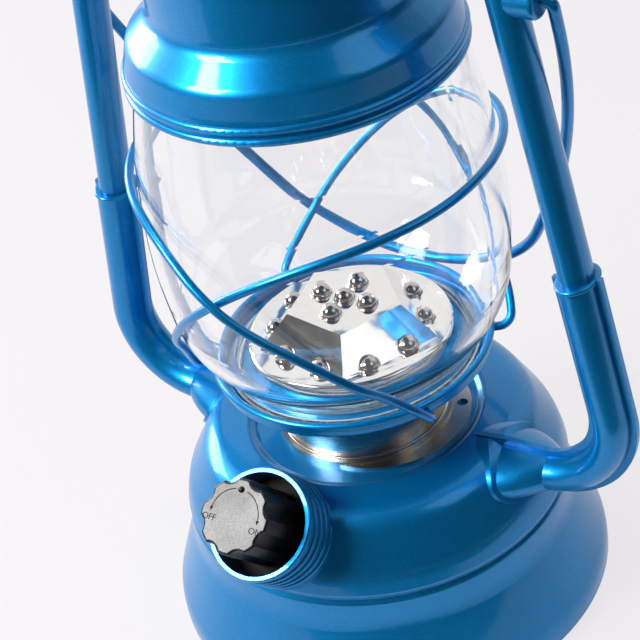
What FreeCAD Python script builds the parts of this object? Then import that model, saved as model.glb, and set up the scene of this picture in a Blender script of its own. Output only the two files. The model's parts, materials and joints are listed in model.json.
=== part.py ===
import FreeCAD, Part
import math
import os

Vector = FreeCAD.Vector

# Hurricane lantern with a lamp of light-emitting diodes. Millimetres, +Z up, Z = 0 is the table.
# The side tubes lie along X and the dimmer faces -Y. Heights stack up from the tank.

# Sheet metal, wire and running clearances
sheet = 0.8
guard_wire = 1.1
bail_wire = 1.4
slip_gap = 0.3
pin_gap = 0.05
bead_sink = 0.1
edge_slack = 0.01
axis_slack = 0.001

# Tank: a flared skirt, a crease, a dome and the seat sunk into its top
tank_foot_radius = 57.8
tank_foot_height = 4.5
tank_waist_radius = 50.6
tank_waist_height = 23.5
tank_skirt_round = 12.0
tank_crease_radius = 49.4
tank_crease_height = 31.2
tank_crease_step = 0.8
tank_crease_lip = 1.2
tank_crease_round = 0.4
tank_dome_radius = 49.0
tank_dome_height = 37.5
tank_dome_round = 14.0
tank_shoulder_radius = 41.5
tank_shoulder_height = 50.5
tank_shoulder_round = 8.0
tank_crest_radius = 30.6
tank_crest_height = 51.8
tank_crest_width = 2.0
tank_crest_round = 1.4
tank_seat_height = 50.3
tank_lead_hole = 12.0

# Base pan and battery door
pan_recess = 3.6
pan_flange = 3.0
pan_round = 1.5
door_radius = 48.5
door_thickness = 2.3
door_ledge = 2.5
door_lug_angle = 18.0
door_lug_height = 1.3
door_lug_play = 4.0
door_lug_gap = 1.0
door_boss_wall = 2.0
door_turn = 30.0
door_lugs = 3
door_grip_width = 9.0
door_grip_length = 50.0
door_grip_depth = 1.3
door_grip_spread = 24.0

# Battery cells lie side by side along X
cell_radius = 16.6
cell_length = 59.0
cell_nub_radius = 4.8
cell_nub_length = 2.5
cell_gap = 0.3
cell_floor = 7.0
contact_thickness = 0.6
contact_radius = 8.0
spring_length = 5.4
spring_wire = 0.45
spring_foot_radius = 7.5
spring_tip_radius = 5.0
spring_turns = 3
coil_corners = 8
coil_share = 0.499
tray_wall = 1.6
tray_post_radius = 3.0
tray_post_spread = 16.0

# Dimmer neck, bezel, potentiometer and knob, measured along the neck from its rim
neck_reach = 51.0
neck_rise = 4.2
neck_tilt = 50.0
neck_radius = 13.6
neck_wall = 0.9
neck_length = 26.0
neck_bead = 0.9
neck_rib = 0.6
neck_ribs = 4
neck_rib_pitch = 2.7
neck_rib_start = 1.4
bezel_depth = 8.0
bezel_thickness = 2.0
dimmer_radius = 8.0
dimmer_length = 8.5
dimmer_leg_spread = 4.5
dimmer_leg_reach = 3.0
dimmer_leg_width = 1.6
dimmer_leg_drop = 4.0
bushing_radius = 3.6
nut_sides = 6
nut_across_flats = 10.0
nut_thickness = 2.2
shaft_radius = 3.0
shaft_flat = 2.3
knob_radius = 9.3
knob_height = 12.0
knob_shell = 2.4
knob_flutes = 8
knob_flute_radius = 3.0
knob_flute_depth = 1.0
knob_edge = 0.7

# Collar, the plate under it and the globe plate
collar_radius = 21.0
collar_flange = 1.6
collar_bend = 0.6
collar_height = 19.7
foot_plate_shift = 5.0
foot_plate_angle = 97.0
foot_plate_hole = 1.4
foot_plate_hole_reach = 25.0
foot_plate_hole_angle = 114.0
plate_radius = 34.9
plate_wall = 3.6
plate_bead = 1.0
plate_bore = 17.0
plate_round = 1.4

# Globe
gasket_height = 1.0
gasket_lap = 0.6
globe_wall = 1.8
globe_foot_radius = 31.5
globe_foot_band = 3.2
globe_foot_round = 5.0
globe_flare_radius = 41.3
globe_flare_height = 15.2
globe_flare_round = 24.0
globe_belly_radius = 44.0
globe_belly_height = 39.2
globe_belly_round = 110.0
globe_upper_radius = 42.0
globe_upper_height = 64.2
globe_upper_round = 90.0
globe_mouth_radius = 35.9
globe_height = 93.6

# Reflector with its five-sided turret and the lamp
reflector_radius = 26.0
reflector_height = 7.2
reflector_wall = 1.2
reflector_round = 1.0
turret_sides = 5
turret_foot_radius = 23.2
turret_top_radius = 14.9
turret_height = 8.2
turret_slant = 1.3
turret_angle = -63.5
led_radius = 2.5
led_flange_radius = 2.9
led_flange_height = 1.0
led_body = 3.4
led_gap = 0.1
led_cross = 6.6
led_ring_radius = 19.4
led_ring_spread = 17.0
led_ring_rise = 1.4
led_ring_tilt = 45.0
board_thickness = 1.6
board_radius = 23.0
turret_board_radius = 10.5

# Hood, chimney, cap and crown
hood_overlap = 10.6
hood_rim_radius = 39.2
hood_bead = 1.0
hood_bead_pitch = 2.7
hood_bead_sink = 0.3
hood_skirt_height = 5.5
hood_skirt_taper = 0.2
hood_skirt_round = 6.0
hood_shoulder_radius = 37.4
hood_shoulder_height = 11.6
hood_shoulder_round = 4.5
hood_neck_round = 5.0
chimney_radius = 31.0
chimney_start = 18.0
chimney_height = 71.5
vent_radius = 2.3
vents = 12
hood_stop = 0.8
hood_lift = 10.0
crown_radius = 37.0
crown_height = 20.0
crown_floor_round = 1.6
crown_top_round = 4.0
crown_room = 10.0
crown_spring_wire = 0.5
crown_spring_turns = 5
cap_radius = 36.0
cap_brim = 2.0
cap_brim_round = 1.5
cap_rise = 14.0
cap_shoulder = 29.0
cap_fall = 4.0
cap_shoulder_round = 10.0
cap_flat = 8.0
cap_flat_round = 20.0
cap_seat = 8.2
eye_wire = 1.1
eye_opening = 2.4
eye_height = 4.6
eye_bend_share = 0.49
ring_radius = 11.0
ring_wire = 1.3
ring_rest = 95.0

# Side tubes: entry into the tank, lower corner, sleeve joint and crown corner
tube_half_depth = 4.6
tube_half_width = 6.0
tube_fin = 1.6
tube_fin_width = 1.4
tube_entry_reach = 32.0
tube_entry_drop = 7.0
tube_corner_reach = 73.2
tube_corner_drop = 1.4
tube_corner_bend = 20.0
tube_top_reach = 51.8
tube_top_bend = 12.0
tube_into_crown = 2.0
tube_sleeve_rise = 56.7
tube_sleeve_depth = 10.0
tube_sleeve_bead = 0.6
flare_half_depth = 6.8
flare_half_width = 13.0
flare_hold = 9.0
flare_hold_share = 0.97
flare_length = 21.0
flare_lip = 1.2

# Guard wires: two loops, each low on one side and high on the other
guard_gap = 0.7
guard_hook_angle = 30.0
guard_right_high = 61.0
guard_right_slope = 0.95
guard_right_knee = 88.0
guard_right_blend = 20.0
guard_left_high = 62.3
guard_left_slope = 0.77
guard_left_knee = 72.0
guard_left_blend = 14.0
guard_cross_width = 16.0
guard_last = 135.0
guard_steps = 15
guard_hook_reach = 4.0
guard_hook_sweep = 6.0
guard_hook_bulge = 0.6
guard_hook_rise = 3.5
guard_hook_depth = 2.0
guard_hole_depth = 3.0
guard_hole_play = 0.1

# Bail
bail_pivot_rise = 126.7
bail_bend = 2.2
bail_elbow_reach = 62.0
bail_elbow_drop = 44.0
bail_arch_reach = 26.0
bail_arch_share = 0.98
bail_drop = 113.0
bail_rest = 21.0
ear_radius = 4.6
ear_height = 3.8
ear_round = 1.0

# Leads
lead_radius = 0.6
lead_fall = 5.0
lead_hang = 9.0
lead_bend_share = 0.45

# Heights that follow from the stack
neck_rim_height = tank_seat_height + neck_rise
tube_entry_height = tank_seat_height - tube_entry_drop
tube_corner_height = tank_seat_height - tube_corner_drop
tube_sleeve_height = tank_seat_height + tube_sleeve_rise
bail_pivot_height = tank_seat_height + bail_pivot_rise
plate_floor = tank_seat_height + collar_height
globe_seat = plate_floor + sheet + gasket_height
globe_top = globe_seat + globe_height
reflector_top = plate_floor + sheet + reflector_height
turret_top = reflector_top + turret_height
hood_rim = globe_top - hood_overlap
crown_floor = hood_rim + chimney_start + hood_lift + crown_room
crown_top = crown_floor + crown_height
tube_top_height = (crown_floor + crown_top) / 2
chimney_top = hood_rim + chimney_height
cap_top = chimney_top + cap_seat
cell_axis = cell_floor + cell_radius
cell_top = cell_axis + cell_radius
cell_offset = cell_radius + cell_gap
bay_half_length = (cell_length + cell_nub_length + contact_thickness + spring_length) / 2
tray_roof = cell_top + slip_gap
centre = Vector(0, 0, 0)
up = Vector(0, 0, 1)
right = Vector(1, 0, 0)
back = Vector(0, 1, 0)


def line(start, end):
    return Part.LineSegment(start, end).toShape()


def corner_arc(before, corner, after, reach):
    # The arc that leaves both runs at the same distance from their corner.
    half_turn = before.getAngle(after) / 2
    radius = reach / math.tan(half_turn)
    inward = (after - before).normalize()
    middle = corner + inward * (radius / math.cos(half_turn) - radius)
    return Part.Arc(corner - before * reach, middle, corner + after * reach).toShape()


def bent_edges(points, reaches):
    # Straight runs joined by tangent arcs.
    edges = []
    start = points[0]
    for index in range(1, len(points) - 1):
        corner = points[index]
        before = (corner - points[index - 1]).normalize()
        after = (points[index + 1] - corner).normalize()
        reach = reaches[index]
        leave = corner - before * reach
        if start.distanceToPoint(leave) > 1e-6:
            edges.append(line(start, leave))
        if reach > 0:
            edges.append(corner_arc(before, corner, after, reach))
        start = corner + after * reach
    edges.append(line(start, points[-1]))
    return edges


def reach_of(points, index, radius):
    before = points[index] - points[index - 1]
    after = points[index + 1] - points[index]
    return radius * math.tan(before.getAngle(after) / 2)


def bent_by_radius(points, radii):
    inner = range(1, len(points) - 1)
    reaches = [0] + [reach_of(points, index, radii[index]) for index in inner] + [0]
    return bent_edges(points, reaches)


def flowing_edges(points, share=0.48):
    # Each bend takes the same share of the shorter of its two runs.
    runs = [points[index].distanceToPoint(points[index + 1]) for index in range(len(points) - 1)]
    inner = range(1, len(points) - 1)
    reaches = [0] + [share * min(runs[index - 1], runs[index]) for index in inner] + [0]
    return bent_edges(points, reaches)


def round_bar(edges, radius):
    path = Part.Wire(edges)
    first = path.OrderedEdges[0]
    tangent = first.tangentAt(first.FirstParameter)
    start = first.valueAt(first.FirstParameter)
    section = Part.Wire(Part.makeCircle(radius, start, tangent))
    return path.makePipeShell([section], True, False)


def left_normal(start, end):
    run = math.hypot(end[0] - start[0], end[1] - start[1])
    return ((start[1] - end[1]) / run, (end[0] - start[0]) / run)


def parallel_outline(outline, wall):
    # The outline moved to its left, with its rounds kept concentric.
    moved = []
    for index, (radius, height, fillet) in enumerate(outline):
        first = left_normal(*outline[max(index - 1, 0):][:2])
        second = left_normal(*outline[min(index, len(outline) - 2):][:2])
        scale = wall / (1 + first[0] * second[0] + first[1] * second[1])
        turn = first[0] * second[1] - first[1] * second[0]
        grown = fillet - wall if turn > 0 else fillet + wall
        moved.append((radius + (first[0] + second[0]) * scale,
                      height + (first[1] + second[1]) * scale,
                      max(grown, 0) if fillet > 0 else 0))
    return moved


def outline_edges(outline):
    points = [Vector(radius, 0, height) for radius, height, fillet in outline]
    return bent_by_radius(points, [fillet for radius, height, fillet in outline])


def spin(edges):
    return Part.Face(Part.Wire(edges)).revolve(centre, up, 360)


def sheet_ring(outline, wall=sheet):
    # A pressed sheet: the outline runs along its outside, with the wall on the left.
    inside = parallel_outline(outline, wall)[::-1]
    outer_edges = outline_edges(outline)
    inner_edges = outline_edges(inside)
    corners = [Vector(radius, 0, height) for radius, height, fillet in
               (outline[-1], inside[0], inside[-1], outline[0])]
    return spin(outer_edges + [line(*corners[:2])] + inner_edges + [line(*corners[2:])])


def filled_ring(outline):
    # The solid between an outline and the axis.
    foot = Vector(0, 0, outline[0][1])
    head = Vector(0, 0, outline[-1][1])
    first = Vector(outline[0][0], 0, outline[0][1])
    last = Vector(outline[-1][0], 0, outline[-1][1])
    return spin([line(foot, first)] + outline_edges(outline) + [line(last, head), line(head, foot)])


def bead(radius, height, thickness):
    return Part.makeTorus(radius, thickness, Vector(0, 0, height))


def disc(radius, low, high, at=centre):
    return Part.makeCylinder(radius, high - low, Vector(at.x, at.y, low))


def tube(outer, inner, low, high):
    return disc(outer, low, high).cut(disc(inner, low, high))


def turned(shape, angle, axis=up, at=centre):
    return shape.rotated(at, axis, angle)


def fused(first, others):
    return first.fuse(others).removeSplitter()


def mirrored(shape):
    return shape.mirror(centre, right)


def compass(angle, radius, height):
    # A place round the axis, the angle counted from the front towards the right-hand tube.
    turn = math.radians(angle)
    return Vector(radius * math.sin(turn), -radius * math.cos(turn), height)


# Tank

tank_outline = [
    (tank_foot_radius, 0, 0),
    (tank_foot_radius, tank_foot_height, tank_skirt_round),
    (tank_waist_radius, tank_waist_height, tank_skirt_round),
    (tank_crease_radius + tank_crease_step, tank_crease_height - tank_crease_lip, tank_crease_lip),
    (tank_crease_radius, tank_crease_height, tank_crease_round),
    (tank_crease_radius + tank_crease_step, tank_crease_height + tank_crease_lip, tank_crease_lip),
    (tank_dome_radius, tank_dome_height, tank_dome_round),
    (tank_shoulder_radius, tank_shoulder_height, tank_shoulder_round),
    (tank_crest_radius, tank_crest_height, tank_crest_round),
    (tank_crest_radius - tank_crest_width, tank_seat_height, tank_crest_round),
    (tank_lead_hole, tank_seat_height, 0),
]
tank_body = filled_ring(tank_outline)
tank_cavity = filled_ring(parallel_outline(tank_outline, sheet + slip_gap))
neck_place = FreeCAD.Placement(Vector(0, -neck_reach, neck_rim_height),
                               FreeCAD.Rotation(right, 90 - neck_tilt))


def on_neck(shape):
    shape.Placement = neck_place.multiply(shape.Placement)
    return shape


def tank_shell():
    mouth = on_neck(disc(neck_radius - neck_wall, -neck_length, 0))
    return sheet_ring(tank_outline).cut(mouth)


# Base pan and the battery door that turns under it

pan_radius = tank_foot_radius - sheet - slip_gap
door_wall = door_radius + slip_gap
door_bore = door_wall - door_ledge
door_top = pan_recess - slip_gap
lug_floor = pan_recess + sheet + slip_gap


def sector(radius, angle, low, high):
    wedge = Part.makeCylinder(radius, high - low, Vector(0, 0, low), up, angle)
    return turned(wedge, -angle / 2)


def base_pan():
    pan = sheet_ring([
        (door_bore, pan_recess, 0),
        (door_wall, pan_recess, 0),
        (door_wall, 0, 0),
        (pan_radius, 0, pan_round),
        (pan_radius, pan_flange, 0),
    ])
    notches = []
    for index in range(door_lugs):
        notch = sector(door_wall, door_lug_angle + door_lug_play, pan_recess - sheet, lug_floor)
        notches.append(turned(notch.cut(disc(door_bore - 2 * door_boss_wall, 0, lug_floor)),
                              360 / door_lugs * index + door_turn))
    return pan.cut(Part.makeCompound(notches))


def battery_door():
    boss_radius = door_bore - slip_gap
    door = disc(door_radius, door_top - door_thickness, door_top)
    boss = tube(boss_radius, boss_radius - door_boss_wall, door_top, lug_floor + door_lug_height)
    lugs = []
    for index in range(door_lugs):
        lug = sector(door_wall - door_lug_gap, door_lug_angle, lug_floor, lug_floor + door_lug_height)
        lug = lug.cut(disc(boss_radius - door_boss_wall / 2, 0, crown_top))
        lugs.append(turned(lug, 360 / door_lugs * index))
    door = fused(door, [boss] + lugs)
    floor = door_top - door_thickness
    for side in (-1, 1):
        grip = Part.makeBox(door_grip_length, door_grip_width, door_grip_depth,
                            Vector(-door_grip_length / 2, -door_grip_width / 2, floor))
        grip.translate(Vector(0, side * door_grip_spread / 2, 0))
        door = door.cut(grip)
    return door


# Battery bay

def battery_tray():
    half = bay_half_length + tray_wall
    width = cell_offset + cell_radius
    block = Part.makeBox(2 * half, 2 * width, tray_roof + tray_wall - cell_axis + cell_radius / 2,
                         Vector(-half, -width, cell_axis - cell_radius / 2))
    room = Part.makeBox(2 * bay_half_length, 2 * width, tray_roof,
                        Vector(-bay_half_length, -width, 0))
    tray = block.cut(room)
    posts = []
    for x in (-tray_post_spread, tray_post_spread):
        for y in (-tray_post_spread, tray_post_spread):
            posts.append(disc(tray_post_radius, tray_roof, tank_seat_height - sheet, Vector(x, y, 0)))
    tray = fused(tray, posts)
    under_seat = disc(tank_crest_radius - 2 * tank_crest_width, 0, tank_seat_height - sheet)
    return tray.common(tank_cavity.fuse(under_seat))


def battery_cell(side):
    # The cell on the +Y side points its nub to +X, the other one to -X.
    nub_end = side * (bay_half_length - contact_thickness)
    along = right * side
    body_end = Vector(nub_end - side * cell_nub_length, side * cell_offset, cell_axis)
    body = Part.makeCylinder(cell_radius, cell_length, body_end, along * -1)
    nub = Part.makeCylinder(cell_nub_radius, cell_nub_length, body_end, along)
    return fused(body, [nub])


def contact_plate(side):
    at = Vector(side * bay_half_length, side * cell_offset, cell_axis)
    return Part.makeCylinder(contact_radius, contact_thickness, at, right * -side)


def coil(foot_radius, tip_radius, length, turns, wire):
    # Corners round the coil, so that the arcs between them touch its radius.
    grow = 1 / math.cos(math.pi / coil_corners)
    count = coil_corners * turns
    points = []
    for index in range(count + 1):
        share = index / count
        radius = grow * (foot_radius + (tip_radius - foot_radius) * share)
        turn = 2 * math.pi * index / coil_corners
        height = wire + (length - 2 * wire) * share
        points.append(Vector(radius * math.cos(turn), radius * math.sin(turn), height))
    pairs = zip(points, points[coil_corners:])
    gap = min((above - below).Length for below, above in pairs) - 2 * wire
    print("least gap between the turns of the coil", round(gap, 2))
    return round_bar(flowing_edges(points, coil_share), wire)


def contact_spring(side):
    spring = coil(spring_foot_radius, spring_tip_radius, spring_length, spring_turns, spring_wire)
    spring.rotate(centre, back, side * 90)
    spring.translate(Vector(-side * bay_half_length, side * cell_offset, cell_axis))
    return spring


# Dimmer

def dimmer_neck():
    neck = tube(neck_radius, neck_radius - neck_wall, -neck_length, 0)
    rings = [bead(neck_radius - neck_wall / 2, -neck_bead, neck_bead)]
    for index in range(neck_ribs):
        rings.append(bead(neck_radius - bead_sink, -neck_rib_pitch * (index + neck_rib_start), neck_rib))
    neck = fused(neck, rings).cut(disc(neck_radius - neck_wall, -neck_length, neck_bead))
    return on_neck(neck).cut(tank_body)


bezel_top = -bezel_depth
bezel_floor = bezel_top - bezel_thickness
shaft_foot = bezel_floor - dimmer_length / 2
nut_top = bezel_top + nut_thickness
knob_floor = nut_top + slip_gap


def dimmer_bezel():
    bezel = disc(neck_radius - neck_wall - pin_gap, bezel_floor, bezel_top)
    return on_neck(bezel.cut(disc(bushing_radius + pin_gap, bezel_floor, bezel_top)))


def dimmer_body():
    body = disc(dimmer_radius, bezel_floor - dimmer_length, bezel_floor)
    body = fused(body, [disc(bushing_radius, bezel_floor, nut_top)])
    for x in (-dimmer_leg_spread, 0, dimmer_leg_spread):
        foot = Vector(x - dimmer_leg_width / 2, -dimmer_radius - dimmer_leg_reach,
                      bezel_floor - dimmer_leg_drop)
        body = body.fuse(Part.makeBox(dimmer_leg_width, 2 * dimmer_leg_reach, sheet, foot))
    return on_neck(body.cut(disc(shaft_radius + pin_gap, shaft_foot - pin_gap, nut_top)))


def dimmer_nut():
    corners = []
    for index in range(nut_sides + 1):
        turn = 2 * math.pi / nut_sides * index
        reach = nut_across_flats / 2 / math.cos(math.pi / nut_sides)
        corners.append(Vector(reach * math.cos(turn), reach * math.sin(turn), bezel_top))
    nut = Part.Face(Part.makePolygon(corners)).extrude(Vector(0, 0, nut_thickness))
    return on_neck(nut.cut(disc(bushing_radius + pin_gap, bezel_top, nut_top)))


def d_bar(radius, flat, low, high):
    keep = Part.makeBox(4 * radius, 2 * radius + flat, high - low, Vector(-2 * radius, -2 * radius, low))
    return disc(radius, low, high).common(keep)


shaft_top = knob_height - knob_shell


def dimmer_shaft():
    stem = disc(shaft_radius, shaft_foot, knob_floor)
    return on_neck(fused(stem, [d_bar(shaft_radius, shaft_flat, knob_floor, shaft_top)]))


def dimmer_knob():
    knob = disc(knob_radius, knob_floor, knob_height)
    flutes = []
    for index in range(knob_flutes):
        flute = disc(knob_flute_radius, knob_floor, knob_height,
                     Vector(knob_radius + knob_flute_radius - knob_flute_depth, 0, 0))
        flutes.append(turned(flute, 360 / knob_flutes * (index + 0.5)))
    knob = knob.cut(Part.makeCompound(flutes))
    top_edges = [edge for edge in knob.Edges if edge.BoundBox.ZMin > knob_height - edge_slack]
    knob = knob.makeFillet(knob_edge, top_edges)
    knob = knob.cut(d_bar(shaft_radius + pin_gap, shaft_flat + pin_gap, knob_floor, shaft_top + pin_gap))
    return on_neck(knob)


# Collar, foot plate and globe plate

foot_plate_top = tank_seat_height + sheet


def collar():
    flange_top = foot_plate_top + sheet
    return sheet_ring([
        (collar_radius + collar_flange, flange_top, 0),
        (collar_radius, flange_top, collar_bend),
        (collar_radius, plate_floor, 0),
    ])


def collar_foot_plate():
    # A flat plate on the tank's seat, drawn out to one side where it has a small hole.
    reach = collar_radius + collar_flange
    drawn = disc(reach, tank_seat_height, foot_plate_top, compass(foot_plate_angle, foot_plate_shift, 0))
    plate = fused(disc(reach, tank_seat_height, foot_plate_top), [drawn])
    hole = compass(foot_plate_hole_angle, foot_plate_hole_reach, 0)
    plate = plate.cut(disc(foot_plate_hole, tank_seat_height, foot_plate_top, hole))
    return plate.cut(disc(tank_lead_hole, tank_seat_height, foot_plate_top))


guard_hook_height = plate_floor + plate_wall / 2
guard_hooks = [side * (90 + spread) for side in (-1, 1) for spread in (-guard_hook_angle, guard_hook_angle)]


def globe_plate():
    plate = sheet_ring([
        (plate_bore, plate_floor, 0),
        (plate_radius, plate_floor, plate_round),
        (plate_radius, plate_floor + plate_wall, 0),
    ])
    plate = fused(plate, [bead(plate_radius - 2 * bead_sink, plate_floor + plate_wall, plate_bead)])
    for angle in guard_hooks:
        start = compass(angle, plate_radius - guard_hole_depth, guard_hook_height)
        hole = Part.makeCylinder(guard_wire + guard_hole_play, 2 * guard_hole_depth, start,
                                 compass(angle, 1, 0))
        plate = plate.cut(hole)
    return plate


# Globe

globe_outline = [
    (globe_foot_radius, globe_seat, 0),
    (globe_foot_radius, globe_seat + globe_foot_band, globe_foot_round),
    (globe_flare_radius, globe_seat + globe_flare_height, globe_flare_round),
    (globe_belly_radius, globe_seat + globe_belly_height, globe_belly_round),
    (globe_upper_radius, globe_seat + globe_upper_height, globe_upper_round),
    (globe_mouth_radius, globe_top, 0),
]


def globe():
    return sheet_ring(globe_outline, globe_wall)


def globe_gasket():
    floor = plate_floor + sheet
    inner = globe_foot_radius - globe_wall - gasket_lap
    return tube(globe_foot_radius + gasket_lap, inner, floor, globe_seat)


# Reflector and lamp

def polygon_wire(radius, height):
    corners = []
    for index in range(turret_sides + 1):
        turn = math.radians(turret_angle + 360 / turret_sides * index)
        corners.append(Vector(radius * math.cos(turn), radius * math.sin(turn), height))
    return Part.makePolygon(corners)


def turret(shrink, low, high):
    # The sloping sides keep their slope above and below the turret itself.
    slope = (turret_foot_radius - turret_top_radius) / turret_height
    sections = []
    for height in (low, high):
        radius = turret_foot_radius - slope * (height - reflector_top) - shrink
        sections.append(polygon_wire(radius, height))
    return Part.makeLoft(sections, True, True)


def led(axis, base):
    stem = Part.makeCylinder(led_radius, led_body, base, axis)
    flange = Part.makeCylinder(led_flange_radius, led_flange_height, base, axis)
    dome = Part.makeSphere(led_radius, base + axis * led_body)
    return fused(stem, [flange, dome])


def led_seats():
    # Each seat is the direction of a diode and the foot of its flange.
    seats = []
    top_foot = turret_top - reflector_wall - led_flange_height
    spots = [centre] + [compass(90 * index, led_cross, 0) for index in range(4)]
    for spot in spots:
        seats.append((up, spot + up * top_foot))
    step = 360 / turret_sides
    face_angle = 90 + turret_angle + step / 2
    for index in range(turret_sides):
        facing = face_angle + step * index
        lift = math.radians(led_ring_tilt)
        axis = compass(facing, math.cos(lift), math.sin(lift))
        for side in (-1, 1):
            spot = compass(facing + side * led_ring_spread, led_ring_radius, reflector_top + led_ring_rise)
            seats.append((axis, spot - axis * led_body))
    return seats


def reflector():
    floor = plate_floor + sheet
    drum = disc(reflector_radius, floor, reflector_top)
    rim = [edge for edge in drum.Edges if edge.BoundBox.ZMin > reflector_top - edge_slack]
    drum = drum.makeFillet(reflector_round, rim)
    inner_drum = disc(reflector_radius - reflector_wall, floor, reflector_top - reflector_wall)
    shell = drum.fuse(turret(0, reflector_top - reflector_wall, turret_top)).removeSplitter()
    inner_turret = turret(reflector_wall * turret_slant, reflector_top - 2 * reflector_wall,
                          turret_top - reflector_wall)
    shell = shell.cut(inner_drum.fuse(inner_turret))
    wells = []
    for axis, base in led_seats():
        wells.append(Part.makeCylinder(led_radius + led_gap, 4 * led_body, base, axis))
        wells.append(Part.makeCylinder(led_flange_radius + led_gap, led_flange_height + led_gap, base, axis))
    return shell.cut(Part.makeCompound(wells).Solids)


def leds():
    return Part.makeCompound([led(axis, base) for axis, base in led_seats()])


board_top = reflector_top + led_ring_rise - led_body * math.sin(math.radians(led_ring_tilt)) \
    - led_flange_radius * math.cos(math.radians(led_ring_tilt)) - pin_gap


def led_board():
    return disc(board_radius, board_top - board_thickness, board_top)


def turret_board():
    top = turret_top - reflector_wall - led_flange_height
    board = disc(turret_board_radius, top - board_thickness, top)
    return board


# Hood, chimney, cap and lift ring

hood_outline = [
    (hood_rim_radius, hood_rim, 0),
    (hood_rim_radius - hood_skirt_taper, hood_rim + hood_skirt_height, hood_skirt_round),
    (hood_shoulder_radius, hood_rim + hood_shoulder_height, hood_shoulder_round),
    (chimney_radius, hood_rim + chimney_start, hood_neck_round),
    (chimney_radius, chimney_top, 0),
]


def hood():
    shell = sheet_ring(hood_outline)
    rings = [bead(hood_rim_radius - hood_bead_sink, hood_rim + hood_bead, hood_bead),
             bead(hood_rim_radius - hood_bead_sink, hood_rim + hood_bead + hood_bead_pitch, hood_bead),
             bead(chimney_radius - bead_sink, crown_floor + sheet + slip_gap + hood_stop, hood_stop)]
    shell = fused(shell, rings).cut(filled_ring(parallel_outline(hood_outline, sheet)))
    holes = []
    for index in range(vents):
        at = Vector(0, 0, (crown_top + chimney_top) / 2)
        hole = Part.makeCylinder(vent_radius, 2 * chimney_radius, at, right)
        holes.append(turned(hole, 360 / vents * (index + 0.5)))
    return shell.cut(Part.makeCompound(holes).Solids)


def hood_spring():
    low = crown_floor + sheet + slip_gap + 2 * hood_stop
    length = crown_top - sheet - slip_gap - low
    radius = chimney_radius + slip_gap + crown_spring_wire
    spring = coil(radius, radius, length, crown_spring_turns, crown_spring_wire)
    spring.translate(up * low)
    return spring


def crown():
    bore = chimney_radius + slip_gap
    shell = sheet_ring([
        (bore, crown_floor, 0),
        (crown_radius, crown_floor, crown_floor_round),
        (crown_radius, crown_top, crown_top_round),
        (bore, crown_top, 0),
    ])
    return shell.cut([upper_solid(0), mirrored(upper_solid(0))])


cap_edge = cap_top - cap_rise


cap_outline = [
    (cap_radius, cap_edge, 0),
    (cap_radius, cap_edge + cap_brim, cap_brim_round),
    (cap_shoulder, cap_top - cap_fall, cap_shoulder_round),
    (cap_flat, cap_top, cap_flat_round),
    (0, cap_top, 0),
]


def chimney_cap():
    return sheet_ring(cap_outline)


def lift_eye():
    # A staple across the top of the cap, open to left and right.
    half = eye_opening + eye_wire
    foot = cap_top - cap_fall
    head = cap_top + eye_height
    points = [Vector(0, -half, foot), Vector(0, -half, head), Vector(0, half, head), Vector(0, half, foot)]
    staple = round_bar(flowing_edges(points, eye_bend_share), eye_wire)
    return staple.cut(filled_ring(cap_outline[:-1] + [(axis_slack, cap_top, 0)]))


ring_hinge = cap_top + ring_wire + 2 * slip_gap


def lift_ring():
    ring = Part.makeTorus(ring_radius, ring_wire, Vector(0, 0, ring_hinge + ring_radius), back)
    return turned(ring, -ring_rest, right, Vector(0, 0, ring_hinge))


# Side tubes

tube_entry = Vector(tube_entry_reach, 0, tube_entry_height)
tube_corner = Vector(tube_corner_reach, 0, tube_corner_height)
tube_top = Vector(tube_top_reach, 0, tube_top_height)
tube_end = Vector(crown_radius - sheet - tube_into_crown, 0, tube_top_height)
entry_run = (tube_corner - tube_entry).normalize()
rise_run = (tube_top - tube_corner).normalize()


def tube_at(height):
    # The place on the rising run at a height.
    return tube_corner + rise_run * ((height - tube_corner.z) / rise_run.z)


def oval(at, tangent, half_depth, half_width, fin=0.0):
    # An oval across the tube, with a seam fin on its inner and outer edges where one is given.
    inward = tangent.cross(back).normalize()
    ends = sorted([(half_width, back), (half_depth, inward)], key=lambda pair: -pair[0])
    curve = Part.Ellipse(at + ends[0][1] * ends[0][0], at + ends[1][1] * ends[1][0], at)
    section = Part.Wire(curve.toShape())
    if fin == 0:
        return section
    reach = inward * (half_depth + fin)
    half = back * (tube_fin_width / 2)
    strip = Part.makePolygon([at + reach + half, at + reach - half, at - reach - half,
                              at - reach + half, at + reach + half])
    return Part.Face(section).fuse(Part.Face(strip)).removeSplitter().Faces[0].OuterWire


def elbow_start(along):
    return tube_entry + entry_run * along


def elbow_path():
    start = elbow_start(flare_length)
    end = tube_at(tube_sleeve_height)
    return Part.Wire(bent_by_radius([start, tube_corner, end], [0, tube_corner_bend, 0]))


def upper_path():
    start = tube_at(tube_sleeve_height - tube_sleeve_depth)
    return Part.Wire(bent_by_radius([start, tube_top, tube_end], [0, tube_top_bend, 0]))


def elbow_solid(shrink, fin):
    start = elbow_start(flare_length)
    section = oval(start, entry_run, tube_half_depth - shrink, tube_half_width - shrink, fin)
    return elbow_path().makePipeShell([section], True, False)


flare_stations = [
    (0, flare_half_depth, flare_half_width),
    (flare_hold, flare_half_depth * flare_hold_share, flare_half_width * flare_hold_share),
    (flare_length, tube_half_depth, tube_half_width),
]


def flare_solid(grow):
    sections = [oval(elbow_start(along), entry_run, depth + grow, width + grow)
                for along, depth, width in flare_stations]
    return Part.makeLoft(sections, True, False)


def flare_fin():
    # The seam fin of the elbow carried on along the flare.
    inward = entry_run.cross(back).normalize()
    half = back * (tube_fin_width / 2)
    sections = []
    for along, depth, width in flare_stations:
        at = elbow_start(along)
        reach = inward * (depth + tube_fin)
        sections.append(Part.makePolygon([at + reach + half, at + reach - half, at - reach - half,
                                          at - reach + half, at + reach + half]))
    return Part.makeLoft(sections, True, True)


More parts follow.
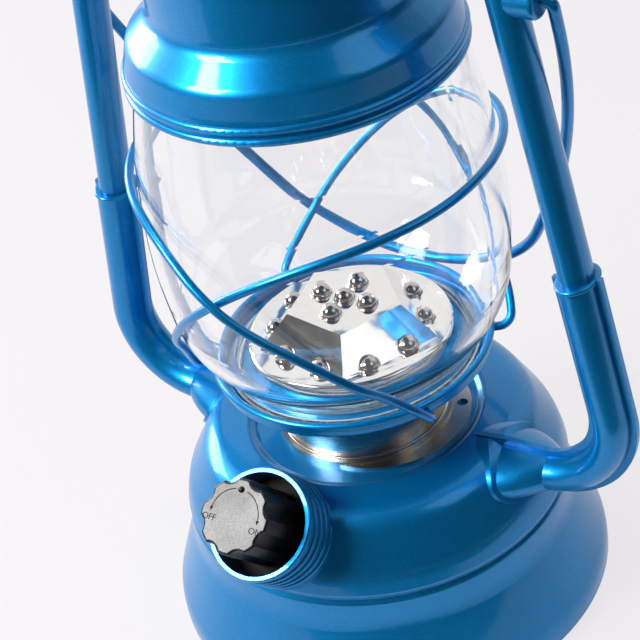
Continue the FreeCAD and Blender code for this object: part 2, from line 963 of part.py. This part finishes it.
def lower_elbow():
    sleeve_end = tube_at(tube_sleeve_height)
    ring_path = oval(sleeve_end - rise_run * tube_sleeve_bead, rise_run, tube_half_depth, tube_half_width)
    first = ring_path.Edges[0]
    ring_section = Part.Wire(Part.makeCircle(tube_sleeve_bead, first.valueAt(first.FirstParameter),
                                             first.tangentAt(first.FirstParameter)))
    ring = ring_path.makePipeShell([ring_section], True, False)
    skin = filled_ring(parallel_outline(tank_outline, -sheet))
    lip = flare_solid(flare_lip).common(skin)
    on_tank = [shape.cut(tank_body) for shape in (flare_solid(0), flare_fin(), lip)]
    outer = elbow_solid(0, tube_fin).fuse(on_tank + [ring])
    return outer.cut(flare_solid(-sheet)).cut(elbow_solid(sheet, 0))


def upper_solid(shrink):
    start = tube_at(tube_sleeve_height - tube_sleeve_depth)
    gap = sheet + pin_gap + shrink
    section = oval(start, rise_run, tube_half_depth - gap, tube_half_width - gap)
    return upper_path().makePipeShell([section], True, False)


def upper_tube():
    return upper_solid(0).cut(upper_solid(sheet))


# Bail ears and bail

ear_at = Vector(tube_at(bail_pivot_height).x, 0, bail_pivot_height)
ear_face = ear_at.x + tube_half_depth + ear_height


def bail_ear():
    boss = Part.makeCylinder(ear_radius, ear_face - ear_at.x, ear_at, right)
    edges = [edge for edge in boss.Edges if edge.BoundBox.XMin > ear_face - edge_slack]
    boss = boss.makeFillet(ear_round, edges).cut(upper_solid(0))
    pin_end = Vector(ear_face - ear_height, 0, ear_at.z)
    return boss.cut(Part.makeCylinder(bail_wire + pin_gap, 2 * ear_height, pin_end, right))


bail_pivot_reach = ear_face + slip_gap + bail_bend


def bail():
    # One wire: a hooked end in each ear, two arms and the arch between them.
    drops = [(ear_face - ear_height + slip_gap, 0), (bail_pivot_reach, 0),
             (bail_elbow_reach, bail_elbow_drop), (bail_arch_reach, bail_drop)]
    half = [Vector(x, 0, bail_pivot_height - drop) for x, drop in drops]
    points = half + [Vector(-point.x, 0, point.z) for point in half[::-1]]
    arch = bail_arch_share * bail_arch_reach
    arm = bail_arch_share * min(half[2].distanceToPoint(half[3]) - arch, bail_elbow_drop - 2 * bail_bend)
    hook = reach_of(points, 1, bail_bend)
    wire = round_bar(bent_edges(points, [0, hook, arm, arch, arch, arm, hook, 0]), bail_wire)
    return turned(wire, bail_rest, right, Vector(0, 0, bail_pivot_height))


# Guard wires

def globe_radius_at(height):
    # Straight runs between the corners of the globe's outline are close enough for a wire route.
    for low, high in zip(globe_outline, globe_outline[1:]):
        if low[1] <= height <= high[1]:
            share = (height - low[1]) / (high[1] - low[1])
            return low[0] + (high[0] - low[0]) * share
    return globe_outline[-1][0]


def guard_height(angle, high, slope, knee, blend):
    # Level over the high side, then an even slope down to the hooks.
    fall = blend * math.log(1 + math.exp((angle - knee) / blend))
    return plate_floor + high - slope * fall


def guard_wire_loop(side, lift, high, slope, knee, blend):
    # Half of the loop, from the middle of its high side down to its hook, then mirrored front to back.
    half = []
    for index in range(guard_steps + 1):
        angle = guard_last * index / guard_steps
        height = guard_height(angle, high, slope, knee, blend)
        crossing = math.exp(-((angle - 90) / guard_cross_width) ** 2)
        half.append((angle, globe_radius_at(height) + guard_gap + guard_wire + lift * crossing, height))
    hook = 180 - guard_hook_angle
    outer = plate_radius + plate_bead + guard_hook_reach
    half.append((hook - guard_hook_sweep, outer + guard_hook_bulge,
                 plate_floor + plate_wall + guard_hook_rise))
    half.append((hook, outer, guard_hook_height))
    half.append((hook, plate_radius - guard_hook_depth, guard_hook_height))
    whole = [(-angle, radius, height) for angle, radius, height in half[:0:-1]] + half
    points = [compass(side * (90 - angle), radius, height) for angle, radius, height in whole]
    return round_bar(flowing_edges(points), guard_wire)


# Leads inside the tank and collar

lead_level = tray_roof + tray_wall + lead_radius + slip_gap / 2
lead_end = board_top - board_thickness
tray_front = -cell_offset - cell_radius


def dimmer_leg(x, deeper):
    return neck_place.multVec(Vector(x, -dimmer_radius - dimmer_leg_reach + lead_radius,
                                     bezel_floor - dimmer_leg_drop - deeper))


def lead(points):
    return round_bar(flowing_edges(points, lead_bend_share), lead_radius)


def under_dimmer(x, drift):
    # From a leg of the dimmer down, in under its body and up over the front edge of the tray.
    return [dimmer_leg(x, 0), dimmer_leg(x, lead_fall),
            Vector(x + drift, tray_front - 6.5, tray_roof - 3.9),
            Vector(x + 2 * drift, tray_front - 3.8, tray_roof - 0.1),
            Vector(x + 3 * drift, tray_front + 2.4, tray_roof + 5.0)]


def lead_dimmer_to_lamp():
    return lead(under_dimmer(0, 0) + [
        Vector(1, -21, lead_level + 0.1), Vector(0, -8, lead_level), Vector(-1, -3, lead_level + 6),
        Vector(-2, -3, lead_end - lead_hang), Vector(-2, -3, lead_end)])


def lead_cell_to_dimmer():
    return lead(under_dimmer(dimmer_leg_spread, 2) + [
        Vector(14, -26, lead_level + 0.2), Vector(20, -19, lead_level + 0.1)])


def lead_cell_to_lamp():
    return lead([Vector(24, 6, lead_level), Vector(17, 7, lead_level), Vector(8, 5, lead_level),
                 Vector(4, 4, lead_level + 7), Vector(3, 3, lead_end - lead_hang), Vector(3, 3, lead_end)])


def build():
    pieces = {
        "tank_shell": tank_shell(),
        "base_pan": base_pan(),
        "battery_door": battery_door(),
        "battery_tray": battery_tray(),
        "battery_cell_rear": battery_cell(1),
        "battery_cell_front": battery_cell(-1),
        "contact_plate_rear": contact_plate(1),
        "contact_plate_front": contact_plate(-1),
        "contact_spring_rear": contact_spring(1),
        "contact_spring_front": contact_spring(-1),
        "dimmer_neck": dimmer_neck(),
        "dimmer_bezel": dimmer_bezel(),
        "dimmer_body": dimmer_body(),
        "dimmer_nut": dimmer_nut(),
        "dimmer_shaft": dimmer_shaft(),
        "dimmer_knob": dimmer_knob(),
        "collar": collar(),
        "collar_foot_plate": collar_foot_plate(),
        "globe_plate": globe_plate(),
        "globe_gasket": globe_gasket(),
        "globe": globe(),
        "reflector": reflector(),
        "leds": leds(),
        "led_board": led_board(),
        "turret_board": turret_board(),
        "hood": hood(),
        "hood_spring": hood_spring(),
        "crown": crown(),
        "chimney_cap": chimney_cap(),
        "lift_eye": lift_eye(),
        "lift_ring": lift_ring(),
        "lower_elbow_right": lower_elbow(),
        "lower_elbow_left": mirrored(lower_elbow()),
        "upper_tube_right": upper_tube(),
        "upper_tube_left": mirrored(upper_tube()),
        "bail_ear_right": bail_ear(),
        "bail_ear_left": mirrored(bail_ear()),
        "bail": bail(),
        "lead_dimmer_to_lamp": lead_dimmer_to_lamp(),
        "lead_cell_to_dimmer": lead_cell_to_dimmer(),
        "lead_cell_to_lamp": lead_cell_to_lamp(),
        "guard_wire_right_high": guard_wire_loop(
            1, 0, guard_right_high, guard_right_slope, guard_right_knee, guard_right_blend),
        "guard_wire_left_high": guard_wire_loop(
            -1, 2 * guard_wire + slip_gap, guard_left_high, guard_left_slope, guard_left_knee,
            guard_left_blend),
    }
    os.makedirs("parts", exist_ok=True)
    for name, shape in pieces.items():
        shape.exportStep("parts/" + name + ".step")
        print(name, len(shape.Solids), shape.isValid(), round(shape.Volume, 1))


build()
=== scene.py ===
import bmesh
import bpy
import json
import math
from mathutils import Matrix, Vector


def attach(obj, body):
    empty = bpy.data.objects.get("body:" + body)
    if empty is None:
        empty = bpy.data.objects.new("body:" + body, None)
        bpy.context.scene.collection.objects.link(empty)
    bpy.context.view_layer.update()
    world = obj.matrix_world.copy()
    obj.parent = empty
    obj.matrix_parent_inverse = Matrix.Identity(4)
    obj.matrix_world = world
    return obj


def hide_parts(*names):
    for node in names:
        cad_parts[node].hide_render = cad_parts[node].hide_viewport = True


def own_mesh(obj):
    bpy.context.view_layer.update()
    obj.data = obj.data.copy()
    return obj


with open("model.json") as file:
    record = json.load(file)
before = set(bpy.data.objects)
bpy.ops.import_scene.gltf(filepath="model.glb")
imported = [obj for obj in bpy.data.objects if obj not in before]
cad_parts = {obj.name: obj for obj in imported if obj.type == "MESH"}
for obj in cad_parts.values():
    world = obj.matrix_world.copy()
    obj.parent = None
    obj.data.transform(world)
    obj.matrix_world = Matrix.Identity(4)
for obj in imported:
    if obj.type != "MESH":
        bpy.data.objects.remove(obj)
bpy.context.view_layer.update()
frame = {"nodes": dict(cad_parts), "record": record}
nodes = frame["nodes"]
scene = bpy.context.scene
scene.view_settings.view_transform = "Standard"
mm = 0.001
tiny = 1e-7  # points nearer than this are one point
smoothUpTo = 40.0  # degrees; a sharper edge stays an edge


class Wire:
    # one output of a shader tree; the operators add Math nodes
    def __init__(self, finish, socket):
        self.finish = finish
        self.socket = socket

    def maths(self, operation, first, second):
        return self.finish.node("Math", {"operation": operation}, {0: first, 1: second})

    def __add__(self, other):
        return self.maths("ADD", self, other)

    def __sub__(self, other):
        return self.maths("SUBTRACT", self, other)

    def __rsub__(self, other):
        return self.maths("SUBTRACT", other, self)

    def __mul__(self, other):
        return self.maths("MULTIPLY", self, other)

    def __pow__(self, other):
        return self.maths("POWER", self, other)

    def __or__(self, other):
        return self.maths("MAXIMUM", self, other)

    __radd__ = __add__
    __rmul__ = __mul__


class Finish:
    # a material, or the world, and the nodes that make its look
    def __init__(self, holder):
        holder.use_nodes = True
        self.holder = holder
        self.tree = holder.node_tree
        self.tree.nodes.clear()

    def node(self, kind, settings=None, sockets=None, out=0):
        made = self.tree.nodes.new("ShaderNode" + kind)
        for name, value in (settings or {}).items():
            setattr(made, name, value)
        for name, value in (sockets or {}).items():
            if isinstance(value, Wire):
                self.tree.links.new(value.socket, made.inputs[name])
            else:
                made.inputs[name].default_value = value
        return Wire(self, made.outputs[out]) if len(made.outputs) else None

    def spot(self):
        return self.node("TexCoord", out="Object")

    def ray(self, kind):
        return self.node("LightPath", out="Is " + kind + " Ray")

    def stretched(self, x, y, z):
        return self.node("VectorMath", {"operation": "MULTIPLY"}, {0: self.spot(), 1: (x, y, z)})

    def noise(self, scale, detail=2.0, where=None):
        sockets = {"Vector": where or self.spot(), "Scale": scale, "Detail": detail}
        return self.node("TexNoise", {}, sockets, "Fac")

    def cells(self, scale):
        tint = self.node("TexVoronoi", {}, {"Vector": self.spot(), "Scale": scale}, "Color")
        return self.node("SeparateColor", {}, {0: tint}, 0)

    def between(self, share, first, second):
        return self.node("Mix", {"data_type": "RGBA"}, {0: share, 6: first, 7: second}, 2)

    def bump(self, height, strength, depth):
        return self.node("Bump", {}, {"Height": height, "Strength": strength, "Distance": depth})

    def skin(self, **sockets):
        named = {name.replace("_", " "): value for name, value in sockets.items()}
        return self.node("BsdfPrincipled", {}, named)

    def show(self, shader):
        self.node("OutputMaterial", {}, {"Surface": shader})
        return self.holder


def finish(name):
    return Finish(bpy.data.materials.new(name))


def rgb(red, green, blue):
    return (red, green, blue, 1.0)


def grey(level):
    return rgb(level, level, level)


# Finishes

bluePaint = {
    "deep": rgb(0.0, 0.150, 0.42), "body": rgb(0.0, 0.210, 0.51), "cloudScale": 38.0,
    "flake": rgb(0.01, 0.37, 0.66), "flakeScale": 5200.0, "flakeShare": 0.30, "flakeLift": 0.5, "rarity": 3.0,
    "metallic": 0.70, "specular": 0.2, "rough": 0.30, "mottle": 0.12, "mottleScale": 900.0,
    "coat": 0.48, "coatRough": 0.08, "peel": 0.05, "peelScale": 420.0, "peelDepth": 0.3 * mm,
}
blueWire = dict(bluePaint, flakeShare=0.2, metallic=0.8, peel=0.06)


def paintBlue(name, look):
    paint = finish(name)
    cloud = paint.noise(look["cloudScale"], 3.0)
    sparkle = paint.cells(look["flakeScale"]) ** look["rarity"]
    ground = paint.between(cloud, look["deep"], look["body"])
    colour = paint.between(sparkle * look["flakeShare"], ground, look["flake"])
    orange = paint.noise(look["peelScale"]) + look["flakeLift"] * paint.cells(look["flakeScale"])
    return paint.show(paint.skin(
        Base_Color=colour, Metallic=look["metallic"], Specular_IOR_Level=look["specular"],
        Roughness=look["rough"] + look["mottle"] * paint.noise(look["mottleScale"]),
        Coat_Weight=look["coat"], Coat_Roughness=look["coatRough"],
        Normal=paint.bump(orange, look["peel"], look["peelDepth"])))


steelSheet = {
    "stain": rgb(0.38, 0.34, 0.30), "stainScale": 90.0,
    "grainRough": 0.16, "grainLift": 0.12, "grainDepth": 0.2 * mm,
}


def bareSteel(name, tone, rough, streak):
    steel = finish(name)
    grain = steel.noise(1.0, 4.0, steel.stretched(*streak))
    stain = steel.noise(steelSheet["stainScale"], 3.0)
    return steel.show(steel.skin(
        Base_Color=steel.between(stain, tone, steelSheet["stain"]), Metallic=1.0,
        Roughness=rough + steelSheet["grainRough"] * grain,
        Normal=steel.bump(grain, steelSheet["grainLift"], steelSheet["grainDepth"])))


chromePlate = {
    "bright": rgb(0.96, 0.94, 0.92), "hazed": rgb(0.87, 0.85, 0.82), "hazeScale": 420.0,
    "rough": 0.04, "hazeRough": 0.08, "waveScale": 70.0, "waveLift": 0.16, "waveDepth": 2.0 * mm,
}


def platedChrome(name):
    chrome = finish(name)
    wave = chrome.noise(chromePlate["waveScale"])
    haze = chrome.noise(chromePlate["hazeScale"], 3.0)
    return chrome.show(chrome.skin(
        Base_Color=chrome.between(haze, chromePlate["bright"], chromePlate["hazed"]), Metallic=1.0,
        Roughness=chromePlate["rough"] + chromePlate["hazeRough"] * haze,
        Normal=chrome.bump(wave, chromePlate["waveLift"], chromePlate["waveDepth"])))


globeGlass = {
    "clear": grey(1.0), "cold": rgb(0.985, 0.992, 0.995), "tintScale": 30.0, "ior": 1.47,
    "waveScale": 26.0, "waveLift": 0.22, "waveDepth": 4.0 * mm, "shadow": rgb(0.96, 0.97, 0.97),
}


def blownGlass(name):
    # light bends in the body, and passes straight through to make the shadow
    glass = finish(name)
    tint = glass.between(glass.noise(globeGlass["tintScale"]), globeGlass["clear"], globeGlass["cold"])
    wave = glass.noise(globeGlass["waveScale"], 1.0)
    body = glass.skin(
        Base_Color=tint, Roughness=0.0, IOR=globeGlass["ior"], Transmission_Weight=1.0,
        Normal=glass.bump(wave, globeGlass["waveLift"], globeGlass["waveDepth"]))
    thin = glass.node("BsdfTransparent", {}, {"Color": globeGlass["shadow"]})
    return glass.show(glass.node("MixShader", {}, {0: glass.ray("Shadow"), 1: body, 2: thin}))


lensBead = {
    "dark": rgb(0.52, 0.46, 0.42), "light": rgb(0.72, 0.66, 0.61), "hazeScale": 500.0,
    "rough": 0.03, "hazeRough": 0.06, "coatRough": 0.02, "hazeLift": 0.10, "hazeDepth": 0.3 * mm,
}


def epoxyOverMetal(name):
    # clear epoxy so close over its bright cup that the two read as one bead
    bead = finish(name)
    haze = bead.noise(lensBead["hazeScale"])
    return bead.show(bead.skin(
        Base_Color=bead.between(haze, lensBead["dark"], lensBead["light"]), Metallic=1.0,
        Roughness=lensBead["rough"] + lensBead["hazeRough"] * haze,
        Coat_Weight=1.0, Coat_Roughness=lensBead["coatRough"],
        Normal=bead.bump(haze, lensBead["hazeLift"], lensBead["hazeDepth"])))


moulding = {
    "cloudScale": 120.0, "cloudRough": 0.12, "poreRough": 0.10, "poreLift": 0.10, "poreDepth": 0.2 * mm,
}


def mouldedPlastic(name, dark, light, rough, poreScale, sheen=0.5):
    plastic = finish(name)
    cloud = plastic.noise(moulding["cloudScale"], 3.0)
    pores = plastic.noise(poreScale)
    return plastic.show(plastic.skin(
        Base_Color=plastic.between(cloud, dark, light), Specular_IOR_Level=sheen,
        Roughness=rough + moulding["poreRough"] * pores + moulding["cloudRough"] * cloud,
        Normal=plastic.bump(pores, moulding["poreLift"], moulding["poreDepth"])))


materials = {
    "blue_paint": paintBlue("bluePaint", bluePaint),
    "blue_wire": paintBlue("blueWire", blueWire),
    "steel": bareSteel("bareSteel", tone=rgb(0.54, 0.50, 0.45), rough=0.18, streak=(60.0, 60.0, 2600.0)),
    "spring_steel": bareSteel(
        "springSteel", tone=rgb(0.70, 0.70, 0.68), rough=0.22, streak=(500.0, 500.0, 500.0)),
    "cell_jacket": bareSteel(
        "cellJacket", tone=rgb(0.58, 0.59, 0.62), rough=0.30, streak=(40.0, 2600.0, 2600.0)),
    "chrome_plate": platedChrome("platedChrome"),
    "globe_glass": blownGlass("blownGlass"),
    "led_lens": epoxyOverMetal("clearEpoxy"),
    "black_plastic": mouldedPlastic(
        "blackPlastic", grey(0.003), grey(0.006), rough=0.55, poreScale=1600.0, sheen=0.12),
    "knob_plastic": mouldedPlastic("knobPlastic", grey(0.003), grey(0.006), rough=0.27, poreScale=1900.0),
    "rubber": mouldedPlastic(
        "greyRubber", rgb(0.16, 0.22, 0.27), rgb(0.22, 0.28, 0.33), rough=0.55, poreScale=900.0),
    "board": mouldedPlastic(
        "greenBoard", rgb(0.01, 0.10, 0.04), rgb(0.02, 0.15, 0.06), rough=0.40, poreScale=700.0),
    "lead_jacket": mouldedPlastic(
        "leadJacket", rgb(0.30, 0.012, 0.012), rgb(0.42, 0.02, 0.02), rough=0.45, poreScale=900.0),
    "mark_ink": mouldedPlastic("markInk", grey(0.006), grey(0.012), rough=0.85, poreScale=800.0),
}
for entry in frame["record"]["subparts"]:
    node = nodes[entry["node"]]
    node.data.materials.clear()
    node.data.materials.append(materials[entry["material_slot"]])
print("finishes:", len(materials))


# Shared makers

def onCircle(centre, radius, angle):
    turn = math.radians(angle)
    return (centre[0] + radius * math.cos(turn), centre[1] + radius * math.sin(turn))


def arc(centre, radius, first, last, steps):
    return [onCircle(centre, radius, first + (last - first) * step / steps) for step in range(steps + 1)]


def facing(axis, across):
    # a turn that lays Z along the axis and X across it
    return Matrix((across, axis.cross(across), axis)).transposed().to_4x4()


def lathe(mesh, profile, place, sides):
    # a closed or open profile of (radius, height), turned about the place's own Z
    turns = [2 * math.pi * step / sides for step in range(sides)]
    rings = []
    for radius, height in profile:
        spots = [Vector((radius * math.cos(turn), radius * math.sin(turn), height)) for turn in turns]
        if radius < tiny:
            spots = [Vector((0, 0, height))]
        rings.append([mesh.verts.new(place @ spot) for spot in spots])
    for low, high in zip(rings, rings[1:]):
        for step in range(sides):
            around = [(low, step), (low, step + 1), (high, step + 1), (high, step)]
            corners = [ring[at % len(ring)] for ring, at in around]
            mesh.faces.new(list(dict.fromkeys(corners)))


def meshObject(name, mesh, material):
    data = bpy.data.meshes.new(name)
    mesh.to_mesh(data)
    mesh.free()
    data.materials.append(material)
    made = bpy.data.objects.new(name, data)
    scene.collection.objects.link(made)
    return made


def piece(name, mesh, slot, body, replaced=()):
    bmesh.ops.remove_doubles(mesh, verts=mesh.verts, dist=tiny)
    bmesh.ops.recalc_face_normals(mesh, faces=mesh.faces)
    made = meshObject(name, mesh, materials[slot])
    made.data.set_sharp_from_angle(angle=math.radians(smoothUpTo))
    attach(made, body)
    if replaced:
        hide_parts(*replaced)
    return made


# Lamp: fifteen diodes, each a domed bead on a flange, with a plated rim round it

lamp = {
    "radius": 2.5 * mm, "body": 3.4 * mm, "sunk": 1.0 * mm, "domeSteps": 10, "lensSides": 28,
    "flange": 2.9 * mm, "flangeHeight": 1.0 * mm, "edge": 0.12 * mm,
    "onTop": 5, "cross": 6.6 * mm, "topFoot": 84.0 * mm, "topSeat": 2.2 * mm,
    "sides": 5, "ring": 19.4 * mm, "spread": 17.0, "tilt": 45.0, "faceAngle": 62.5,
    "ringHeight": 79.4 * mm, "ringSeat": 2.6 * mm,
    "rim": 0.22 * mm, "rimGap": 0.06 * mm, "rimSides": 12,
}


def compass(angle, reach, height):
    # the angle is counted from the front towards the right-hand tube
    turn = math.radians(angle)
    return Vector((reach * math.sin(turn), -reach * math.cos(turn), height))


def standing(foot, axis):
    return Matrix.Translation(foot) @ axis.to_track_quat("Z", "Y").to_matrix().to_4x4()


def diodePlaces():
    up = Vector((0, 0, 1))
    arms = lamp["onTop"] - 1
    places = [standing(up * lamp["topFoot"], up)]
    for arm in range(arms):
        places.append(standing(compass(360 / arms * arm, lamp["cross"], lamp["topFoot"]), up))
    lift = math.radians(lamp["tilt"])
    for side in range(lamp["sides"]):
        towards = lamp["faceAngle"] + 360 / lamp["sides"] * side
        axis = compass(towards, math.cos(lift), math.sin(lift))
        for way in (-1, 1):
            spot = compass(towards + way * lamp["spread"], lamp["ring"], lamp["ringHeight"])
            places.append(standing(spot - axis * lamp["body"], axis))
    return places


def makeLamp():
    lenses = bmesh.new()
    rims = bmesh.new()
    radius, flange, top, edge = lamp["radius"], lamp["flange"], lamp["flangeHeight"], lamp["edge"]
    bead = [(0, 0), (flange - edge, 0), (flange, edge)]
    bead += [(flange, top - edge), (flange - edge, top), (radius, top)]
    bead += arc((0, lamp["body"] - lamp["sunk"]), radius, 0, 90, lamp["domeSteps"])
    rimReach = radius + lamp["rim"] + lamp["rimGap"]
    for index, place in enumerate(diodePlaces()):
        lathe(lenses, bead, place, lamp["lensSides"])
        seat = lamp["topSeat"] if index < lamp["onTop"] else lamp["ringSeat"]
        rim = arc((rimReach, seat), lamp["rim"], 0, 360, lamp["rimSides"])[:-1]
        lathe(rims, rim + rim[:1], place, lamp["lensSides"])
    piece("lampLenses", lenses, "led_lens", "lantern_frame", ["leds"])
    piece("lampRims", rims, "chrome_plate", "lantern_frame")


makeLamp()
print("lamp:", lamp["onTop"] + 2 * lamp["sides"], "diodes")


# Hood spring: the model's coil, made into its own piece on the lantern frame with its own copy of the mesh


def makeSpring():
    coil = bmesh.new()
    coil.from_mesh(nodes["hood_spring"].data)
    made = piece("hoodSpring", coil, "spring_steel", "lantern_frame", ["hood_spring"])
    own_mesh(made)


makeSpring()
print("hood spring: 1 coil")


# Marks on the face of the knob

marks = {
    "face": 12.0 * mm, "neckReach": 51.0 * mm, "neckHeight": 54.5 * mm, "tilt": 50.0,
    "sunk": 0.05 * mm, "proud": 0.03 * mm, "line": 0.11 * mm,
    "arcs": [(103.0, 172.0), (75.0, 4.0)], "arcRadius": 6.6 * mm, "arcSteps": 16,
    "arrow": 0.5 * mm, "arrowTurn": 9.0,
    "dot": 0.8 * mm, "dotReach": 6.5 * mm, "dotSteps": 6, "dotSides": 20,
    "words": [("OFF", -6.5 * mm, -2.3 * mm), ("ON", 6.7 * mm, -2.9 * mm)], "wordSize": 2.2 * mm,
}


def knobFace():
    tilt = math.radians(marks["tilt"])
    axis = Vector((0, -math.cos(tilt), math.sin(tilt)))
    rim = Vector((0, -marks["neckReach"], marks["neckHeight"]))
    return Matrix.Translation(rim + axis * marks["face"]) @ facing(axis, Vector((1, 0, 0)))


def slab(mesh, outline, place):
    low = [mesh.verts.new(place @ Vector((x, y, -marks["sunk"]))) for x, y in outline]
    high = [mesh.verts.new(place @ Vector((x, y, marks["proud"]))) for x, y in outline]
    mesh.faces.new(high)
    mesh.faces.new(low[::-1])
    for step in range(len(low)):
        after = (step + 1) % len(low)
        mesh.faces.new((low[step], low[after], high[after], high[step]))


def inkArrow(ink, face, first, last):
    middle, radius = (0, 0), marks["arcRadius"]
    outer = arc(middle, radius + marks["line"], first, last, marks["arcSteps"])
    inner = arc(middle, radius - marks["line"], last, first, marks["arcSteps"])
    slab(ink, outer + inner, face)
    root = [onCircle(middle, radius + side * marks["arrow"], last) for side in (1, -1)]
    tip = onCircle(middle, radius, last + math.copysign(marks["arrowTurn"], last - first))
    slab(ink, root + [tip], face)


def inkWord(ink, face, word, x, y):
    letters = bpy.data.curves.new(word, "FONT")
    letters.body = word
    letters.size = marks["wordSize"]
    letters.align_x = "CENTER"
    letters.extrude = (marks["sunk"] + marks["proud"]) / 2
    holder = bpy.data.objects.new(word, letters)
    solid = bpy.data.meshes.new_from_object(holder)
    solid.transform(face @ Matrix.Translation((x, y, (marks["proud"] - marks["sunk"]) / 2)))
    ink.from_mesh(solid)
    bpy.data.objects.remove(holder)


def makeMarks():
    face = knobFace()
    ink = bmesh.new()
    for first, last in marks["arcs"]:
        inkArrow(ink, face, first, last)
    for word, x, y in marks["words"]:
        inkWord(ink, face, word, x, y)
    piece("knobMarks", ink, "mark_ink", "knob")
    bead = bmesh.new()
    dot, foot = marks["dot"], -marks["sunk"]
    place = face @ Matrix.Translation((0, marks["dotReach"], 0))
    profile = [(0, foot), (dot, foot)] + arc((0, 0), dot, 0, 90, marks["dotSteps"])
    lathe(bead, profile, place, marks["dotSides"])
    piece("knobDot", bead, "knob_plastic", "knob")


makeMarks()
print("knob marks: OFF and ON")


# Floor and card

floor = {
    "size": 6.0, "tone": rgb(0.90, 0.90, 0.91), "cloud": rgb(0.88, 0.88, 0.89), "cloudScale": 8.0,
    "rough": 0.9, "seenAs": rgb(0.865, 0.840, 0.865), "seenShare": 0.90,
}


def makeFloor():
    paper = finish("paperFloor")
    seen = paper.ray("Camera") | paper.ray("Glossy") | paper.ray("Transmission")
    tone = paper.between(paper.noise(floor["cloudScale"]), floor["tone"], floor["cloud"])
    matt = paper.skin(Base_Color=tone, Roughness=floor["rough"])
    glow = paper.node("Emission", {}, {"Color": floor["seenAs"], "Strength": 1.0})
    paper.show(paper.node("MixShader", {}, {0: seen * floor["seenShare"], 1: matt, 2: glow}))
    mesh = bmesh.new()
    bmesh.ops.create_grid(mesh, x_segments=1, y_segments=1, size=floor["size"])
    meshObject("floor", mesh, paper.holder)


flag = {"near": 0.13, "far": 1.2, "halfWidth": 0.9, "height": 0.004, "way": (0.61, -0.79, 0)}


def makeFlag():
    # a black card lying in front of the lantern, which only reflections show
    way = Vector(flag["way"]).normalized()
    across = Vector((-way.y, way.x, 0)) * flag["halfWidth"]
    lift = Vector((0, 0, flag["height"]))
    near = way * flag["near"] + lift
    far = way * flag["far"] + lift
    corners = [near - across, near + across, far + across, far - across]
    mesh = bmesh.new()
    mesh.faces.new([mesh.verts.new(corner) for corner in corners])
    card = meshObject("flag", mesh, materials["black_plastic"])
    card.visible_camera = False
    card.visible_diffuse = False
    card.visible_transmission = False
    card.visible_shadow = False


# Light and camera

softboxes = {
    "key": {"way": (-0.44, -0.64, 0.63), "far": 0.85, "size": 0.32, "watts": 11.5},
    "left": {"way": (-0.95, 0.14, 0.28), "far": 0.9, "size": 0.4, "watts": 6.0},
    "side": {"way": (0.70, 0.05, 0.71), "far": 0.9, "size": 0.5, "watts": 1.0},
    "top": {"way": (-0.14, 0.12, 0.98), "far": 0.8, "size": 0.14, "watts": 1.6},
}
lightAim = Vector((0, 0, 0.10))


def makeSoftbox(name, box):
    light = bpy.data.lights.new(name, "AREA")
    light.shape = "SQUARE"
    light.size = box["size"]
    light.energy = box["watts"]
    made = bpy.data.objects.new(name, light)
    scene.collection.objects.link(made)
    away = Vector(box["way"]).normalized() * box["far"]
    made.location = lightAim + away
    made.rotation_euler = away.to_track_quat("Z", "Y").to_euler()


sky = {"light": 0.08, "paleWay": (-0.50, 0.70, 0.51), "paleFrom": 0.2, "paleFull": 0.75, "darkest": 0.03}


def makeWorld():
    # the camera sees white; reflections and the view through glass find white only behind the lantern
    scene.world = bpy.data.worlds.new("studio")
    room = Finish(scene.world)
    camera = room.ray("Camera")
    mirrored = room.ray("Glossy") | room.ray("Transmission")
    way = room.node("TexCoord", out="Generated")
    behind = room.node("VectorMath", {"operation": "DOT_PRODUCT"}, {0: way, 1: sky["paleWay"]}, 1)
    shade = room.node("MapRange", {"interpolation_type": "SMOOTHSTEP"}, {
        0: behind, 1: sky["paleFrom"], 2: sky["paleFull"], 3: sky["darkest"], 4: 1.0})
    other = (1 - camera) * ((1 - mirrored) * sky["light"] + mirrored * shade)
    backdrop = room.node("Background", {}, {"Color": grey(1.0), "Strength": camera + other})
    room.node("OutputWorld", {}, {"Surface": backdrop})


view = {
    "at": (0.2423, -0.3216, 0.3699), "back": (0.500, -0.640, 0.583), "up": (-0.193, 0.574, 0.796),
    "lens": 112.4, "sensor": 36.0, "nearest": 0.01,
}


def makeCamera():
    data = bpy.data.cameras.new("camera")
    data.lens = view["lens"]
    data.sensor_width = view["sensor"]
    data.clip_start = view["nearest"]
    camera = bpy.data.objects.new("camera", data)
    scene.collection.objects.link(camera)
    back = Vector(view["back"]).normalized()
    across = Vector(view["up"]).cross(back).normalized()
    camera.matrix_world = Matrix.Translation(view["at"]) @ facing(back, across)
    scene.camera = camera


makeFloor()
makeFlag()
for name, box in softboxes.items():
    makeSoftbox(name, box)
makeWorld()
makeCamera()
print("studio:", len(softboxes), "lights")
